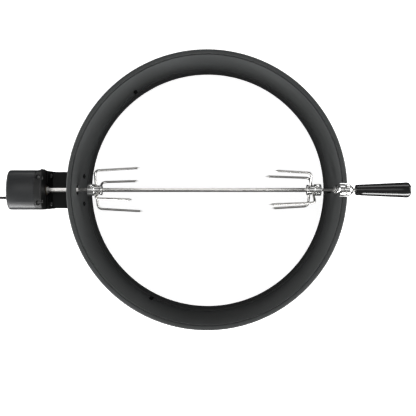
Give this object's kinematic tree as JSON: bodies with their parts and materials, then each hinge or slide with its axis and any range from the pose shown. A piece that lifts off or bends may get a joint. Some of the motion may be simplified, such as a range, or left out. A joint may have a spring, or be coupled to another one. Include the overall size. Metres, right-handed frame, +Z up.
{
  "type": "rotisserie ring kit",
  "caption": "Round steel ring for a kettle barbecue with a geared motor on a bracket, a square spit, four-tine meat forks and a handle.",
  "frame": {"origin": "on the floor, under the middle of the length from the motor's rear to the handle's end", "axes": "+X along the spit from motor to handle, +Z up, +Y to the left of someone who looks from the motor to the handle"},
  "size_m": [1.031, 0.57, 0.1671],
  "materials": {
    "ring": "matt dark grey high-temperature coating, faint grain",
    "bracket": "black satin coating",
    "dark_plastic": "fine-grained black plastic",
    "shell": "satin dark grey plastic, smoother than the front",
    "steel": "bright drawn steel",
    "chrome": "polished plating",
    "zinc": "zinc plated",
    "grip": "glossy black",
    "copper": "enamelled copper wire",
    "nylon": "natural nylon",
    "magnet": "ferrite",
    "brass": "sintered bronze",
    "cable": "matt black sheath"
  },
  "bodies": {
    "ring_and_motor": {"ring_shell": "ring", "rest_pin_1": "bracket", "rest_pin_2": "bracket", "rest_pin_3": "bracket", "motor_bracket": "bracket", "bracket_bolt_1": "bracket", "bracket_bolt_2": "bracket", "bracket_nut_1": "zinc", "bracket_nut_2": "zinc", "mount_screw_1": "zinc", "mount_screw_2": "zinc", "motor_rear_shell": "shell", "motor_front_housing": "dark_plastic", "housing_screw_1": "zinc", "housing_screw_2": "zinc", "housing_screw_3": "zinc", "housing_screw_4": "zinc", "cover_screw_1": "zinc", "cover_screw_2": "zinc", "gear_plate": "zinc", "gear_axle_1": "steel", "gear_axle_2": "steel", "stator_can": "zinc", "field_coil": "copper", "output_bearing": "brass", "switch_body": "dark_plastic", "cord_gland": "cable", "mains_cord": "cable", "cord_coil": "cable", "cord_tail": "cable", "cord_tie": "dark_plastic", "plug_body": "cable", "plug_pin_1": "zinc", "plug_pin_2": "zinc"},
    "spit": {"spit_bar": "steel", "ring_bushing": "chrome", "stop_collar": "chrome"},
    "handle": {"handle_grip": "grip", "handle_insert": "zinc"},
    "stop_screw": {"stop_collar_screw": "chrome"},
    "left_fork": {"left_fork_hub": "chrome", "left_fork_tine_long_a": "steel", "left_fork_tine_long_b": "steel", "left_fork_tine_short_a": "steel", "left_fork_tine_short_b": "steel"},
    "right_fork": {"right_fork_hub": "chrome", "right_fork_tine_long_a": "steel", "right_fork_tine_long_b": "steel", "right_fork_tine_short_a": "steel", "right_fork_tine_short_b": "steel"},
    "left_screw": {"left_fork_screw": "chrome"},
    "right_screw": {"right_fork_screw": "chrome"},
    "output": {"output_gear": "zinc"},
    "second": {"second_gear": "nylon"},
    "first": {"first_gear": "nylon"},
    "rotor": {"rotor": "magnet"},
    "rocker": {"switch_rocker": "dark_plastic"}
  },
  "joints": [
    {"name": "spit_turn", "type": "hinge", "parent": "ring_and_motor", "child": "spit", "pos_m": [-0.0085, 0, 0.12], "axis": [1, 0, 0], "continuous": true},
    {"name": "output_turn", "type": "hinge", "parent": "ring_and_motor", "child": "output", "pos_m": [-0.3585, 0, 0.12], "axis": [1, 0, 0], "continuous": true},
    {"name": "second_gear_turn", "type": "hinge", "parent": "ring_and_motor", "child": "second", "pos_m": [-0.3585, 0.02007, 0.09771], "axis": [1, 0, 0], "continuous": true},
    {"name": "first_gear_turn", "type": "hinge", "parent": "ring_and_motor", "child": "first", "pos_m": [-0.3635, 0.0163, 0.07806], "axis": [1, 0, 0], "continuous": true},
    {"name": "rotor_turn", "type": "hinge", "parent": "ring_and_motor", "child": "rotor", "pos_m": [-0.3835, 0, 0.074], "axis": [1, 0, 0], "continuous": true},
    {"name": "left_fork_slide", "type": "slide", "parent": "spit", "child": "left_fork", "axis": [1, 0, 0], "range_m": [-0.012, 0.12]},
    {"name": "right_fork_slide", "type": "slide", "parent": "spit", "child": "right_fork", "axis": [1, 0, 0], "range_m": [-0.12, 0.012]},
    {"name": "left_screw_turn", "type": "hinge", "parent": "left_fork", "child": "left_screw", "pos_m": [-0.252, 0, 0.12], "axis": [0, 0.5736, 0.8192], "range_deg": [0, 540]},
    {"name": "right_screw_turn", "type": "hinge", "parent": "right_fork", "child": "right_screw", "pos_m": [0.2235, 0, 0.12], "axis": [0, 0.5736, 0.8192], "range_deg": [0, 540]},
    {"name": "stop_screw_turn", "type": "hinge", "parent": "spit", "child": "stop_screw", "pos_m": [0.28615, 0, 0.12], "axis": [0, 0.5736, 0.8192], "range_deg": [0, 540]},
    {"name": "handle_unscrew", "type": "hinge", "parent": "spit", "child": "handle", "pos_m": [0.3215, 0, 0.12], "axis": [1, 0, 0], "range_deg": [0, 720]},
    {"name": "switch_rock", "type": "hinge", "parent": "ring_and_motor", "child": "rocker", "pos_m": [-0.3538, 0.039, 0.12], "axis": [1, 0, 0], "range_deg": [-8, 8]}
  ],
  "couplings": [
    {"joint": "output_turn", "follows": "spit_turn", "ratio": 1},
    {"joint": "second_gear_turn", "follows": "spit_turn", "ratio": -5},
    {"joint": "first_gear_turn", "follows": "spit_turn", "ratio": 20},
    {"joint": "rotor_turn", "follows": "spit_turn", "ratio": -100}
  ]
}
